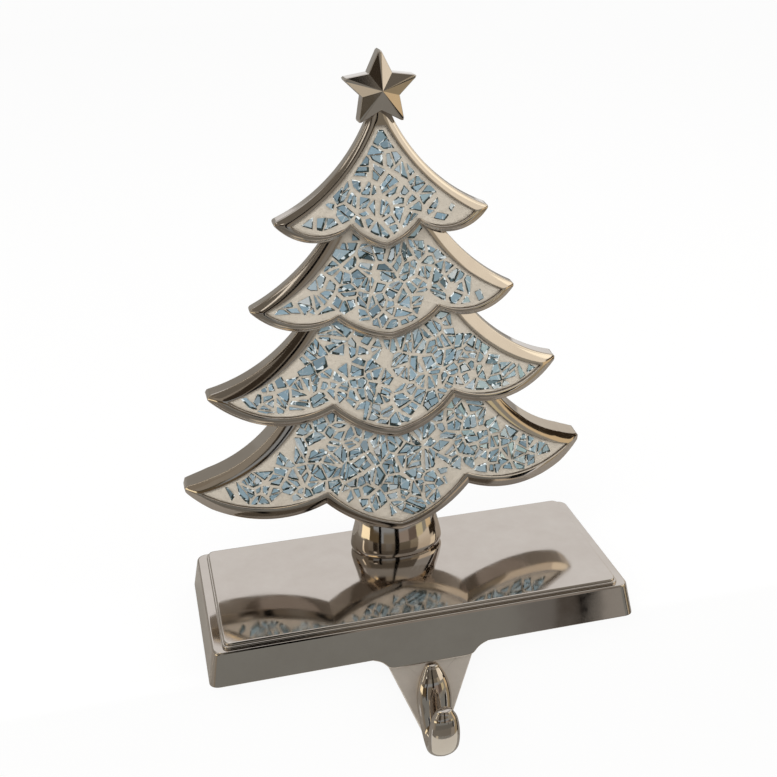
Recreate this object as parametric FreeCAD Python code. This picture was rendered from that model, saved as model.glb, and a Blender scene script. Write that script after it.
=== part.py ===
import FreeCAD, Part
import math
import os
import random

V = FreeCAD.Vector
os.makedirs("parts", exist_ok=True)

# Frame: origin at the centre of the resting plane, +Z up, +X right, the front of the tree faces -Y.

# base block: flared walls under a two-step top plate
BASE_W = 150.0          # width of the block at its foot
BASE_D = 65.0           # depth of the block at its foot
FLARE = 2.1             # how far the foot stands out past the top, each side
WALL_TOP = 12.5         # height of the flared walls above the resting plane
PAD_PROUD = 0.3         # pads stand this far below the casting
CORNER_R = 3.0          # upright corners of the block
FOOT_C = 0.7            # broken edge along the foot
STEP_H = 1.0            # height of each of the two steps of the top plate
STEP_1_IN = (3.4, 1.1)  # inset of the lower step from the wall top, sides and front
STEP_2_IN = (4.0, 1.65)
PLATE_TOP = WALL_TOP + 2 * STEP_H

# non-slip pad let into the underside, in front of the fixing screw
PAD_W, PAD_D, PAD_T = 124.0, 31.0, 2.4
PAD_Y = -8.5            # pad centre
PAD_R = 3.0
PAD_GAP = 0.15          # clearance of the pad in its pocket, all round

# hanger below the front edge: apron lip, tapering tongue and upturned hook, all on the slope of the wall
TONGUE_SET_BACK = 1.3   # tongue face behind the face of the wall
TONGUE_T = 4.2
TONGUE_HALF = 16.6      # half width where the tongue sides would cross the foot line
TONGUE_SLOPE = 0.385    # half width lost per millimetre downwards
TONGUE_END_R = 2.4
LIP_DROP = 4.2          # the front wall runs this far below the foot over the tongue
LIP_HALF = 15.0
LIP_T = 5.0
FILLET_OUT = 22.0       # where the lip's side curves leave the foot line

# oval sections along the J of the hook: distance in front of the foot line, z, direction of the line,
# half width, half thickness
HOOK = [(0.1, -5.6, -75, 2.4, 1.5), (1.4, -10.0, -98, 4.8, 2.7), (2.7, -16.0, -100, 6.1, 3.3),
        (4.3, -23.0, -106, 5.9, 3.5), (6.8, -28.6, -132, 5.4, 3.4), (10.9, -30.9, -182, 5.2, 3.3),
        (14.3, -28.0, -232, 5.4, 3.4), (15.5, -22.0, -264, 5.4, 3.3), (15.6, -16.2, -270, 4.6, 2.9),
        (15.4, -12.8, -272, 2.9, 1.8)]
HOOK_SIDES = 16         # chords around each section of the hook

# tree: every tier is a bowed slab, its front on a large tilted cylinder
FRONT_R = 198.0         # bow of the tier fronts
BACK_R = 275.0          # bow of the shared hollow back
BACK_Y, BACK_Z, BACK_SLOPE = 16.3, 44.0, 0.09
RECESS = 1.8            # depth of the panels behind the rims
BED_T = 0.7             # grout bed left on the floor of each panel
CHIP_T = 1.0            # glass thickness of the mirror chips
TIP_R = 1.1             # rounding of the tier tips
RIM_C = 0.9             # bevel on the outer edge of the rims

# Each tier: front line (y at z, slope), chips, their grout margin at the rim, the range of half a joint,
# then the rim outline and the panel outline as points of three arcs:
# flank start, flank middle, tip, lowest point of the lobe, cusp, middle of the petal side, petal tip.
TIERS = {
    1: dict(line=(17.6, 130.2, 0.15), chips=38, edge=1.7, joint=(0.35, 0.85),
            rim=[(4.0, 170.0), (15.3, 153.5), (37.0, 138.3), (23.3, 131.9), (12.0, 136.0), (6.6, 131.1), (0, 128.3)],
            panel=[(1.7, 168.0), (13.6, 151.6), (31.9, 137.5), (23.4, 133.8), (11.9, 137.4), (6.4, 132.7), (0, 129.9)]),
    2: dict(line=(14.7, 98.8, 0.19), chips=66, edge=1.2, joint=(0.25, 0.6),
            rim=[(17.5, 136.0), (29.3, 121.6), (46.9, 108.9), (30.0, 101.9), (18.2, 105.0), (10.0, 99.7), (0, 96.9)],
            panel=[(12.8, 135.5), (24.5, 120.3), (42.1, 108.2), (29.2, 103.9), (17.8, 106.8), (9.7, 101.6), (0, 98.8)]),
    3: dict(line=(9.1, 64.9, 0.22), chips=110, edge=1.0, joint=(0.2, 0.5),
            rim=[(27.5, 105.0), (42.0, 90.0), (63.7, 78.6), (40.3, 69.4), (22.0, 73.5), (12.1, 66.3), (0, 62.5)],
            panel=[(21.5, 106.5), (35.3, 90.0), (57.4, 77.5), (39.0, 71.8), (21.9, 76.0), (11.9, 68.6), (0, 64.9)]),
    4: dict(line=(5.7, 28.6, 0.15), chips=136, edge=1.0, joint=(0.2, 0.5),
            rim=[(36.5, 72.0), (53.3, 54.6), (76.5, 44.4), (47.0, 34.9), (26.2, 40.1), (14.3, 31.6), (0, 26.9)],
            panel=[(30.5, 74.0), (45.6, 56.7), (69.5, 43.3), (46.0, 38.2), (25.8, 43.3), (14.0, 33.9), (0, 28.7)]),
}
SPIRE = (1.2, 178.0)    # the top tier runs on behind the star up to here

# star
STAR_C = (22.2, 180.1)  # y of its edge, z of its centre
STAR_R, STAR_INNER = 12.2, 6.35
STAR_RISE = 2.2         # the centre stands this far in front of the edge
STAR_BACK = 27.2

# trunk: oval sections given as (z, half width, half depth, y of the centre)
TRUNK = [(PLATE_TOP, 16.6, 10.2, 15.7), (PLATE_TOP + 2.2, 17.2, 10.6, 15.7), (20.5, 16.6, 10.2, 15.7),
         (26.0, 15.2, 9.0, 15.9), (32.0, 14.0, 7.3, 16.2), (46.0, 12.4, 3.0, 14.0)]
TRUNK_SIDES = 24

# fixing screw from beneath, with its washer in a counterbore
SCREW_D, SCREW_HOLE = 5.0, 5.4
SCREW_LEN = 26.0
HEAD_D, HEAD_H = 9.0, 2.6
WASHER_D, WASHER_T = 13.0, 1.2
BORE_D, BORE_DEPTH = 14.0, 5.0
SCREW_Y = 16.2


def rounded_rect(w, d, r, z):
    """Closed wire of a rounded rectangle centred on the Z axis at height z."""
    a, b = w / 2 - r, d / 2 - r
    k = r * math.sqrt(0.5)
    edges = []
    corners = [(a, -b, 1, -1), (a, b, 1, 1), (-a, b, -1, 1), (-a, -b, -1, -1)]
    for i, (cx, cy, sx, sy) in enumerate(corners):
        if sx * sy < 0:
            first, last = V(cx, cy + sy * r, z), V(cx + sx * r, cy, z)
        else:
            first, last = V(cx + sx * r, cy, z), V(cx, cy + sy * r, z)
        edges.append(Part.Arc(first, V(cx + sx * k, cy + sy * k, z), last).toShape())
    out = []
    for i, arc in enumerate(edges):
        nxt = edges[(i + 1) % 4]
        out += [arc, Part.makeLine(arc.lastVertex().Point, nxt.firstVertex().Point)]
    return Part.Wire(Part.__sortEdges__(out))


def slab(w, d, r, z, h):
    """Upright rounded block."""
    return Part.Face(rounded_rect(w, d, r, z)).extrude(V(0, 0, h))


def arc3(a, b, c, side=1):
    """Arc through three (x, z) points in the plane y = 0, mirrored when side is -1."""
    pa, pb, pc = (V(side * p[0], 0, p[1]) for p in (a, b, c))
    return Part.Arc(pa, pb, pc).toShape()


def outline(points, cap=None):
    """Closed wire of a tier: flank, lobe and petal arcs on both sides, joined at the top."""
    flank0, flank1, tip, low, cusp, petal, end = points
    edges = []
    for side in (1, -1):
        edges += [arc3(flank0, flank1, tip, side), arc3(tip, low, cusp, side), arc3(cusp, petal, end, side)]
    left, right = V(-flank0[0], 0, flank0[1]), V(flank0[0], 0, flank0[1])
    if cap:
        tops = [V(-cap[0], 0, cap[1]), V(cap[0], 0, cap[1])]
        edges += [Part.makeLine(left, tops[0]), Part.makeLine(tops[0], tops[1]), Part.makeLine(tops[1], right)]
    else:
        edges.append(Part.makeLine(left, right))
    return Part.Wire(Part.__sortEdges__(edges))


def prism(wire):
    """Tier outline pushed through the whole depth of the tree."""
    return Part.Face(wire).extrude(V(0, 45, 0))


def tilted_cylinder(radius, y, z, slope, shrink=0.0):
    """Cylinder whose front line passes through (0, y, z) and leans back by slope."""
    q = math.sqrt(1 + slope * slope)
    back, along = V(0, 1 / q, -slope / q), V(0, slope / q, 1 / q)
    foot = V(0, y, z) + back * radius - along * 200
    return Part.makeCylinder(radius - shrink, 500, foot, along)


def front_point(tier, x, z, depth):
    """Point at (x, z) on the tier front moved back by depth, with its outward normal."""
    y0, z0, slope = TIERS[tier]["line"]
    q = math.sqrt(1 + slope * slope)
    r = FRONT_R - depth
    rise = math.sqrt(r * r - x * x)
    along = (z - z0 + slope / q * (FRONT_R - rise)) * q
    y = y0 + (FRONT_R - rise) / q + along * slope / q
    normal = V(x / r, -rise / r / q, rise / r * slope / q)
    return V(x, y, z), normal


def sample(wire, step):
    """Corner points of a wire with its arcs cut into chords of about the given step."""
    pts = []
    for e in wire.OrderedEdges:
        n = max(1, int(round(e.Length / step)))
        line = e.discretize(n + 1)
        if e.Orientation == "Reversed":
            line.reverse()
        pts += [(p.x, p.z) for p in line[:-1]]
    return pts


def clip(poly, nx, nz, limit):
    """Part of an (x, z) polygon where nx * x + nz * z is at most limit."""
    out = []
    for i, (ax, az) in enumerate(poly):
        bx, bz = poly[(i + 1) % len(poly)]
        da, db = nx * ax + nz * az - limit, nx * bx + nz * bz - limit
        if da <= 0:
            out.append((ax, az))
        if da * db < 0:
            t = da / (da - db)
            out.append((ax + t * (bx - ax), az + t * (bz - az)))
    return out


def inside(poly, x, z):
    """Even-odd test of a point against a polygon."""
    hit = False
    for i, (ax, az) in enumerate(poly):
        bx, bz = poly[i - 1]
        if (az > z) != (bz > z) and x < (bx - ax) * (z - az) / (bz - az) + ax:
            hit = not hit
    return hit


def area(poly):
    return sum(poly[i - 1][0] * p[1] - p[0] * poly[i - 1][1] for i, p in enumerate(poly)) / 2


def chip_field(tier):
    """Polygon that the chips may fill: the panel inside its margin, below the tier above."""
    edge = TIERS[tier]["edge"]
    face = Part.Face(outline(TIERS[tier]["panel"])).makeOffset2D(-edge)
    if tier > 1:
        above = Part.Face(outline(TIERS[tier - 1]["rim"])).makeOffset2D(edge)
        face = face.cut(above)
    face = max(face.Faces, key=lambda f: f.Area)
    return sample(face.OuterWire, 4.0)


def cells(tier):
    """Broken-glass polygons: random seeds kept apart, each cell shrunk by half a joint."""
    rng = random.Random(40 + tier)
    field = chip_field(tier)
    xs, zs = [p[0] for p in field], [p[1] for p in field]
    seeds = []
    while len(seeds) < TIERS[tier]["chips"]:
        best, far = None, -1
        for _ in range(4):
            x, z = rng.uniform(min(xs), max(xs)), rng.uniform(min(zs), max(zs))
            if not inside(field, x, z):
                continue
            near = min([math.hypot(x - a, z - b) for a, b in seeds], default=99)
            if near > far:
                best, far = (x, z), near
        if best:
            seeds.append(best)
    result = []
    for x, z in seeds:
        poly = list(field)
        for a, b in seeds:
            dx, dz = a - x, b - z
            gap = math.hypot(dx, dz)
            if 0 < gap < 30:
                middle = (dx * (x + a) + dz * (z + b)) / 2 / gap
                poly = clip(poly, dx / gap, dz / gap, middle - rng.uniform(*TIERS[tier]["joint"]))
        clean = [p for i, p in enumerate(poly) if math.hypot(p[0] - poly[i - 1][0], p[1] - poly[i - 1][1]) > 1.1]
        if len(clean) > 2 and abs(area(clean)) > 2.2:
            result.append(clean)
    return result


def chip(tier, poly):
    """Flat piece of mirror standing on the grout bed, square to it at its own middle."""
    cx, cz = sum(p[0] for p in poly) / len(poly), sum(p[1] for p in poly) / len(poly)
    mid, n = front_point(tier, cx, cz, RECESS - BED_T)
    pts = [V(x, mid.y - (n.x * (x - cx) + n.z * (z - cz)) / n.y, z) for x, z in poly]
    return Part.Face(Part.makePolygon(pts + pts[:1])).extrude(n * CHIP_T)


def oval(a, b, sides, place=FreeCAD.Matrix()):
    """Closed wire of straight chords around an oval of half axes a and b, moved by a matrix."""
    turns = [2 * math.pi * (i + 0.5) / sides for i in range(sides)]
    pts = [V(a * math.cos(t), b * math.sin(t), 0) for t in turns]
    wire = Part.makePolygon(pts + pts[:1])
    wire.transformShape(place)
    return Part.Wire(wire)


def base_block():
    """Flared block with a broken foot edge under the two steps of the top plate."""
    sole = rounded_rect(BASE_W - 2 * FOOT_C, BASE_D - 2 * FOOT_C, CORNER_R, PAD_PROUD)
    foot = rounded_rect(BASE_W, BASE_D, CORNER_R, PAD_PROUD + FOOT_C)
    top = rounded_rect(BASE_W - 2 * FLARE, BASE_D - 2 * FLARE, CORNER_R, WALL_TOP)
    body = Part.makeLoft([sole, foot, top], True, True)
    w, d = BASE_W - 2 * FLARE, BASE_D - 2 * FLARE
    for i, (sx, sy) in enumerate((STEP_1_IN, STEP_2_IN)):
        step = slab(w - 2 * sx, d - 2 * sy, 2.2, WALL_TOP - 0.5, 0.5 + (i + 1) * STEP_H)
        body = body.fuse(step)
    return body.removeSplitter()


def lean(shape):
    """Tilt a piece drawn in the plane y = 0 onto the slope of the front wall, about the foot line."""
    angle = math.degrees(math.atan2(FLARE, WALL_TOP - PAD_PROUD))
    shape.rotate(V(0, 0, 0), V(1, 0, 0), -angle)
    shape.translate(V(0, -BASE_D / 2, PAD_PROUD))
    return shape


def tongue():
    """Tapering plate with a round lower end, set back from the wall."""
    tilt = math.atan(TONGUE_SLOPE)
    centre = -TONGUE_HALF / TONGUE_SLOPE + TONGUE_END_R / math.sin(tilt)
    tx, tz = TONGUE_END_R * math.cos(tilt), centre - TONGUE_END_R * math.sin(tilt)
    top, y = 4.0, TONGUE_SET_BACK
    half = TONGUE_HALF + TONGUE_SLOPE * top
    right, left = V(tx, y, tz), V(-tx, y, tz)
    edges = [Part.makeLine(V(-half, y, top), V(half, y, top)), Part.makeLine(V(half, y, top), right),
             Part.Arc(right, V(0, y, centre - TONGUE_END_R), left).toShape(), Part.makeLine(left, V(-half, y, top))]
    return lean(Part.Face(Part.Wire(edges)).extrude(V(0, TONGUE_T, 0)))


def lip():
    """Apron that carries the wall down over the tongue, with a hollow curve at each side."""
    edges = [Part.makeLine(V(-FILLET_OUT, 0, 3), V(FILLET_OUT, 0, 3)),
             Part.makeLine(V(LIP_HALF, 0, -LIP_DROP), V(-LIP_HALF, 0, -LIP_DROP))]
    for s in (1, -1):
        top, foot = V(s * FILLET_OUT, 0, 3), V(s * FILLET_OUT, 0, 0)
        middle, low = V(s * (LIP_HALF + 2.4), 0, -1.2), V(s * LIP_HALF, 0, -LIP_DROP)
        edges += [Part.makeLine(top, foot), Part.Arc(foot, middle, low).toShape()]
    return lean(Part.Face(Part.Wire(Part.__sortEdges__(edges))).extrude(V(0, LIP_T, 0)))


def hook():
    """Loft through the oval sections, each square to the line of the J."""
    wires = []
    for ahead, z, angle, a, b in HOOK:
        t = math.radians(angle)
        c, s = math.cos(t), math.sin(t)
        frame = FreeCAD.Matrix(1, 0, 0, 0, 0, -s, c, -BASE_D / 2 - ahead, 0, c, s, z, 0, 0, 0, 1)
        wires.append(oval(a, b, HOOK_SIDES, frame))
    return Part.makeLoft(wires, True, True)


def star():
    """Five-pointed star: flat facets rising to a central point, straight side walls."""
    y0, zc = STAR_C
    rim = []
    for i in range(10):
        r = STAR_INNER if i % 2 else STAR_R
        a = math.radians(36 * i)
        rim.append(V(r * math.sin(a), y0, zc + r * math.cos(a)))
    peak = V(0, y0 - STAR_RISE, zc)
    back = [V(p.x, STAR_BACK, p.z) for p in rim]
    faces = [Part.Face(Part.makePolygon(back + back[:1]))]
    for i in range(10):
        a, b = rim[i], rim[(i + 1) % 10]
        c, d = back[(i + 1) % 10], back[i]
        faces.append(Part.Face(Part.makePolygon([a, b, peak, a])))
        faces.append(Part.Face(Part.makePolygon([a, b, c, d, a])))
    return Part.makeSolid(Part.makeShell(faces))


def tier_body(tier):
    """Bowed slab of one tier with rounded tips and its sunken panel."""
    data = TIERS[tier]
    body = prism(outline(data["rim"], SPIRE if tier == 1 else None))
    tip_x, tip_z = data["rim"][2]
    tips = [e for e in body.Edges if abs(abs(e.Vertexes[0].X) - tip_x) < 1e-3
            and abs(e.Vertexes[0].Z - tip_z) < 1e-3 and e.BoundBox.YLength > 40]
    body = body.makeFillet(TIP_R, tips)
    body = body.common(tilted_cylinder(FRONT_R, *data["line"]))
    bowed = max(body.Faces, key=lambda f: f.Area if f.CenterOfMass.y < 30 else 0)
    body = body.makeChamfer(RIM_C, bowed.Edges)
    body = body.cut(tilted_cylinder(BACK_R, BACK_Y, BACK_Z, BACK_SLOPE))
    pocket = prism(outline(data["panel"])).cut(tilted_cylinder(FRONT_R, *data["line"], RECESS))
    return body.cut(pocket)


def tree():
    body = tier_body(1)
    for tier in (2, 3, 4):
        body = body.fuse(tier_body(tier))
    rings = []
    for z, a, b, y in TRUNK:
        rings.append(oval(a, b, TRUNK_SIDES, FreeCAD.Matrix(1, 0, 0, 0, 0, 1, 0, y, 0, 0, 1, z, 0, 0, 0, 1)))
    trunk = Part.makeLoft(rings, True, True)
    body = body.fuse(trunk).fuse(star())
    screw_end = BORE_DEPTH - WASHER_T + SCREW_LEN - HEAD_H
    hole = Part.makeCylinder(SCREW_D / 2, screw_end + 1 - PLATE_TOP, V(0, SCREW_Y, PLATE_TOP))
    return body.cut(hole).removeSplitter()


def bed(tier, casting):
    """Grout on the floor of a panel, as far as the tier above leaves it open."""
    line = TIERS[tier]["line"]
    layer = tilted_cylinder(FRONT_R, *line, RECESS - BED_T).cut(tilted_cylinder(FRONT_R, *line, RECESS))
    solid = prism(outline(TIERS[tier]["panel"])).common(layer).cut(casting)
    return max(solid.Solids, key=lambda s: s.Volume)


def save(name, shape):
    shape.exportStep("parts/" + name + ".step")


casting = base_block().fuse(tongue()).fuse(lip()).fuse(hook())
pocket = slab(PAD_W + 2 * PAD_GAP, PAD_D + 2 * PAD_GAP, PAD_R + PAD_GAP, -1, 1 + PAD_T)
casting = casting.cut(pocket.translated(V(0, PAD_Y, 0)))
casting = casting.cut(Part.makeCylinder(BORE_D / 2, BORE_DEPTH + 1, V(0, SCREW_Y, -1)))
casting = casting.cut(Part.makeCylinder(SCREW_HOLE / 2, 30, V(0, SCREW_Y, 0))).removeSplitter()
save("base_casting", casting)

tree_casting = tree()
save("tree_casting", tree_casting)

for tier in TIERS:
    save("tier_%d_grout" % tier, bed(tier, tree_casting))
    chips = [chip(tier, poly) for poly in cells(tier)]
    save("tier_%d_mirror_chips" % tier, Part.makeCompound(chips))

save("non_slip_pad", slab(PAD_W, PAD_D, PAD_R, 0, PAD_T).translated(V(0, PAD_Y, 0)))

washer = Part.makeCylinder(WASHER_D / 2, WASHER_T, V(0, SCREW_Y, BORE_DEPTH - WASHER_T))
washer = washer.cut(Part.makeCylinder(SCREW_HOLE / 2, WASHER_T, V(0, SCREW_Y, BORE_DEPTH - WASHER_T)))
save("fixing_washer", washer)

head_z = BORE_DEPTH - WASHER_T
shank = Part.makeCylinder(SCREW_D / 2, SCREW_LEN - HEAD_H, V(0, SCREW_Y, head_z))
head = Part.makeCylinder(HEAD_D / 2, HEAD_H, V(0, SCREW_Y, head_z - HEAD_H))
drive = Part.makeBox(HEAD_D * 0.55, 1.2, 1.4, V(-HEAD_D * 0.275, SCREW_Y - 0.6, head_z - HEAD_H))
cross = drive.fuse(drive.rotated(V(0, SCREW_Y, 0), V(0, 0, 1), 90))
save("fixing_screw", shank.fuse(head).cut(cross).removeSplitter())
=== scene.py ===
import bpy
import numpy as np
from mathutils import Matrix, Vector


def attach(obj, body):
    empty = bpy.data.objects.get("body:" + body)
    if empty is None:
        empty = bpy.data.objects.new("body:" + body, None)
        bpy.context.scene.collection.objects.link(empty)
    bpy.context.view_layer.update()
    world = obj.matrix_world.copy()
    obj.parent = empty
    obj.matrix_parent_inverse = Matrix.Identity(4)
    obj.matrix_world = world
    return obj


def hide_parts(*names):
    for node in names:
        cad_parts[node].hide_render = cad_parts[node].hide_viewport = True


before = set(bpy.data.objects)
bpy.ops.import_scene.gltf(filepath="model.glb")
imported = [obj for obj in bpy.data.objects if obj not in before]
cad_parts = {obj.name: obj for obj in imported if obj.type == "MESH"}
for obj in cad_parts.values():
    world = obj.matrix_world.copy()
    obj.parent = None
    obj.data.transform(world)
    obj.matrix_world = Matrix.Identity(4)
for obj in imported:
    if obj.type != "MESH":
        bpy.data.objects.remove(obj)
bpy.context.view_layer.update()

# Camera: a little left of the middle and 24 degrees above the block, where the photograph was taken from,
# with a small shift because the photograph is cropped off its optical axis.
PHOTO_PX = 777
FOCAL_PX = 1112.7
SHIFT_PX = (-14.6, -15.1)
AIM = Vector((0, 0, 0.090))
DISTANCE = 0.3724
azimuth, elevation, roll = np.radians((-13.97, 23.57, -1.12))
back = Vector((np.sin(azimuth) * np.cos(elevation), -np.cos(azimuth) * np.cos(elevation),
               np.sin(elevation)))
right = (-back).cross(Vector((0, 0, 1))).normalized()
up = right.cross(-back)
view_x = np.cos(roll) * right + np.sin(roll) * up
view_y = np.cos(roll) * up - np.sin(roll) * right
camera = bpy.data.objects.new("camera", bpy.data.cameras.new("camera"))
camera.matrix_world = Matrix((view_x, view_y, back)).transposed().to_4x4()
camera.location = AIM + back * DISTANCE
camera.data.sensor_width = 36
camera.data.lens = camera.data.sensor_width * FOCAL_PX / PHOTO_PX
camera.data.shift_x, camera.data.shift_y = (shift / PHOTO_PX for shift in SHIFT_PX)
camera.data.clip_start = 0.02
bpy.context.scene.collection.objects.link(camera)
bpy.context.scene.camera = camera
bpy.context.scene.view_settings.view_transform = "Standard"


# Floor: a pale painted shelf with a rounded front edge. The block stands on it and the hook hangs over the
# edge. To the camera it is almost white, and it keeps the shadow.
def colour(code):
    """sRGB hex code as linear red, green, blue and alpha."""
    c = np.array([int(code[i:i + 2], 16) for i in (1, 3, 5)]) / 255
    return (*np.where(c <= 0.04045, c / 12.92, ((c + 0.055) / 1.055) ** 2.4), 1.0)


def add(tree, kind, inputs=None, **settings):
    """Adds a node: settings are its properties, inputs its sockets, each a value or an output to link."""
    node = tree.nodes.new(kind)
    for key, value in settings.items():
        setattr(node, key, value)
    for key, value in (inputs or {}).items():
        if isinstance(value, bpy.types.NodeSocket):
            tree.links.new(value, node.inputs[key])
        else:
            node.inputs[key].default_value = value
    return node


def sheet_mesh(name, grid):
    """Open surface from an array (rows, columns, 3) in metres, one quad between four neighbours."""
    rows, columns = grid.shape[:2]
    index = np.arange(rows * columns).reshape(rows, columns)
    quads = np.stack([index[:-1, :-1], index[:-1, 1:], index[1:, 1:], index[1:, :-1]], -1).reshape(-1, 4)
    mesh = bpy.data.meshes.new(name)
    mesh.from_pydata(grid.reshape(-1, 3).tolist(), [], quads.tolist())
    mesh.shade_smooth()
    piece = bpy.data.objects.new(name, mesh)
    bpy.context.scene.collection.objects.link(piece)
    return piece


# The shelf runs from 12 m behind the block to its front edge, round the radius and half a metre down.
EDGE_Y, EDGE_RADIUS = -0.026, 0.004
bend = np.radians(np.linspace(0, 90, 7))
edge_y = np.concatenate([[12.0], EDGE_Y + EDGE_RADIUS * (1 - np.sin(bend)), [EDGE_Y]])
edge_z = np.concatenate([[0.0], EDGE_RADIUS * (np.cos(bend) - 1), [-0.5]])
across = np.array([-6.0, 6.0])
shelf = np.broadcast_arrays(across[None, :], edge_y[:, None], edge_z[:, None])
floor = sheet_mesh("floor", np.stack(shelf, -1))

# White matt paint: 0.9 of what the camera sees is plain white, and the metal sees a warmer grey.
paint = bpy.data.materials.new("white_matt_paint")
paint.use_nodes = True
coat = paint.node_tree
shader = coat.nodes["Principled BSDF"]
seen = add(coat, "ShaderNodeLightPath").outputs["Is Camera Ray"]
shiny = add(coat, "ShaderNodeLightPath").outputs["Is Glossy Ray"]
tint = add(coat, "ShaderNodeMix", {0: shiny, 6: colour("#f2f1ef"), 7: colour("#a8a39b")}, data_type="RGBA")
glow = add(coat, "ShaderNodeEmission", {"Color": (1, 1, 1, 1), "Strength": 1.0}).outputs[0]
whiter = add(coat, "ShaderNodeMath", {0: seen, 1: 0.9}, operation="MULTIPLY").outputs[0]
cover = add(coat, "ShaderNodeMixShader", {0: whiter, 1: shader.outputs[0], 2: glow})
coat.links.new(tint.outputs[2], shader.inputs["Base Color"])
coat.links.new(cover.outputs[0], coat.nodes["Material Output"].inputs["Surface"])
shader.inputs["Roughness"].default_value = 0.8
floor.data.materials.append(paint)

# World: a white room. The camera, gloss and glass see pure white, and it fills the shadows softly.
world = bpy.data.worlds.new("white_room")
bpy.context.scene.world = world
world.use_nodes = True
room = world.node_tree
path = add(room, "ShaderNodeLightPath")
direct = add(room, "ShaderNodeMath", {0: path.outputs["Is Camera Ray"], 1: path.outputs["Is Glossy Ray"]},
             operation="MAXIMUM")
direct = add(room, "ShaderNodeMath", {0: direct.outputs[0], 1: path.outputs["Is Transmission Ray"]},
             operation="MAXIMUM")
strength = add(room, "ShaderNodeMapRange", {"Value": direct.outputs[0], "To Min": 0.8, "To Max": 1.0})
room.links.new(strength.outputs[0], room.nodes["Background"].inputs["Strength"])
room.nodes["Background"].inputs["Color"].default_value = (1, 1, 1, 1)

# Lamps: one large soft box above to the left and a weaker one to the right.
for name, place, size, watts in (("soft_box_left", (-0.55, -0.45, 0.95), 0.7, 5.5),
                                 ("soft_box_right", (0.75, -0.15, 0.65), 0.5, 2.2)):
    lamp = bpy.data.objects.new(name, bpy.data.lights.new(name, "AREA"))
    lamp.data.size, lamp.data.energy = size, watts
    lamp.location = place
    lamp.rotation_euler = (Vector(place) - Vector((0, 0, 0.08))).to_track_quat("Z", "Y").to_euler()
    lamp.visible_glossy = False
    bpy.context.scene.collection.objects.link(lamp)

# Reflector boards of the studio, seen only in the metal: they stand round the object on a large sphere and
# give the polished faces their dark, grey and cream bands. Slats are narrow strips that hang 10 cm in front
# of the boards, and a card stands close under the hook.
SPHERE_MIDDLE = np.array([0, 0, 0.05])
SPHERE_RADIUS = {"board": 2.0, "slat": 1.9, "card": 0.19}

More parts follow.
